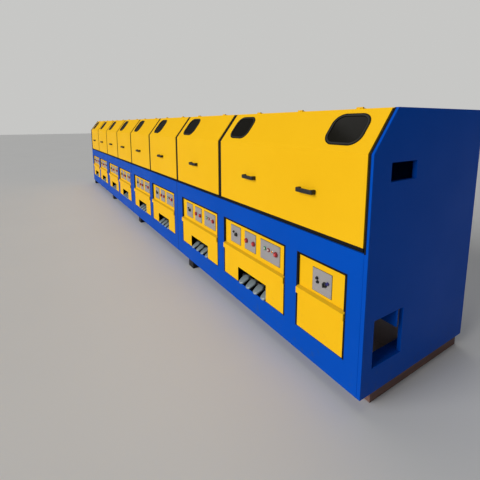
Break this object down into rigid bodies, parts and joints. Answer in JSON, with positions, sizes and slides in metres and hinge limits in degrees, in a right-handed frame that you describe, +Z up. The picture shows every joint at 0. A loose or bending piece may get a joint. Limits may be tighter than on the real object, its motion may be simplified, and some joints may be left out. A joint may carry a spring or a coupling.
{
  "type": "wire drawing machine",
  "caption": "Straight-line wire drawing machine: blue cabinet base with foot pedals and switch panels, capstans on its deck under yellow hinged hoods with dark windows.",
  "frame": {"origin": "on the floor, under the middle of the machine's box", "axes": "+X along the machine towards the wire outlet end, +Y from the operator's side to the rear, +Z up"},
  "size_m": [8.92, 1.185, 1.738],
  "materials": {
    "base_paint": "satin",
    "yellow_paint": "satin",
    "post_paint": "satin",
    "seal_rubber": "matte",
    "beam_primer": "matte",
    "plate_aluminium": "brushed",
    "red_plastic": "gloss",
    "black_plastic": "matte",
    "lamp_plastic": "gloss",
    "pedal_paint": "hammered",
    "bright_steel": "turned",
    "block_iron": "ground",
    "window_glass": "dark"
  },
  "bodies": {
    "frame": {"base_section_1": "base_paint", "base_section_2": "base_paint", "base_section_3": "base_paint", "base_section_4": "base_paint", "near_end_wall": "base_paint", "far_end_wall": "base_paint", "rear_panels": "base_paint", "rear_covers": "base_paint", "roof_panels": "yellow_paint", "hood_posts": "post_paint", "roof_beams": "base_paint", "hood_seals": "seal_rubber", "support_beams": "beam_primer", "control_panels": "yellow_paint", "switch_plates": "plate_aluminium", "push_buttons": "red_plastic", "selector_knobs": "black_plastic", "signal_lamps": "lamp_plastic", "lower_covers_1": "yellow_paint", "lower_covers_2": "yellow_paint", "lower_covers_3": "yellow_paint", "lower_covers_4": "yellow_paint", "foot_pedals": "pedal_paint", "pedal_shafts": "bright_steel", "bearing_housings": "base_paint", "capstans": "block_iron", "die_boxes": "pedal_paint", "guide_wheels": "bright_steel"},
    "hood_1": {"hood_1": "yellow_paint", "hood_window_1": "window_glass", "hood_handle_1": "black_plastic"},
    "hood_2": {"hood_2": "yellow_paint", "hood_window_2": "window_glass", "hood_handle_2": "black_plastic"},
    "hood_3": {"hood_3": "yellow_paint", "hood_window_3": "window_glass", "hood_handle_3": "black_plastic"},
    "hood_4": {"hood_4": "yellow_paint", "hood_window_4": "window_glass", "hood_handle_4": "black_plastic"},
    "hood_5": {"hood_5": "yellow_paint", "hood_window_5": "window_glass", "hood_handle_5": "black_plastic"},
    "hood_6": {"hood_6": "yellow_paint", "hood_window_6": "window_glass", "hood_handle_6": "black_plastic"},
    "hood_7": {"hood_7": "yellow_paint", "hood_window_7": "window_glass", "hood_handle_7": "black_plastic"},
    "hood_8": {"hood_8": "yellow_paint", "hood_window_8": "window_glass", "hood_handle_8": "black_plastic"}
  },
  "joints": [
    {"name": "hood_1_hinge", "type": "hinge", "parent": "frame", "child": "hood_1", "pos_m": [-3.93, -0.3685, 1.731], "axis": [-1, 0, 0], "range_deg": [0, 70]},
    {"name": "hood_2_hinge", "type": "hinge", "parent": "frame", "child": "hood_2", "pos_m": [-2.8925, -0.3685, 1.731], "axis": [-1, 0, 0], "range_deg": [0, 70]},
    {"name": "hood_3_hinge", "type": "hinge", "parent": "frame", "child": "hood_3", "pos_m": [-1.8475, -0.3685, 1.731], "axis": [-1, 0, 0], "range_deg": [0, 70]},
    {"name": "hood_4_hinge", "type": "hinge", "parent": "frame", "child": "hood_4", "pos_m": [-0.8025, -0.3685, 1.731], "axis": [-1, 0, 0], "range_deg": [0, 70]},
    {"name": "hood_5_hinge", "type": "hinge", "parent": "frame", "child": "hood_5", "pos_m": [0.2425, -0.3685, 1.731], "axis": [-1, 0, 0], "range_deg": [0, 70]},
    {"name": "hood_6_hinge", "type": "hinge", "parent": "frame", "child": "hood_6", "pos_m": [1.2875, -0.3685, 1.731], "axis": [-1, 0, 0], "range_deg": [0, 70]},
    {"name": "hood_7_hinge", "type": "hinge", "parent": "frame", "child": "hood_7", "pos_m": [2.3325, -0.3685, 1.731], "axis": [-1, 0, 0], "range_deg": [0, 70]},
    {"name": "hood_8_hinge", "type": "hinge", "parent": "frame", "child": "hood_8", "pos_m": [3.65, -0.3685, 1.731], "axis": [-1, 0, 0], "range_deg": [0, 70]}
  ]
}
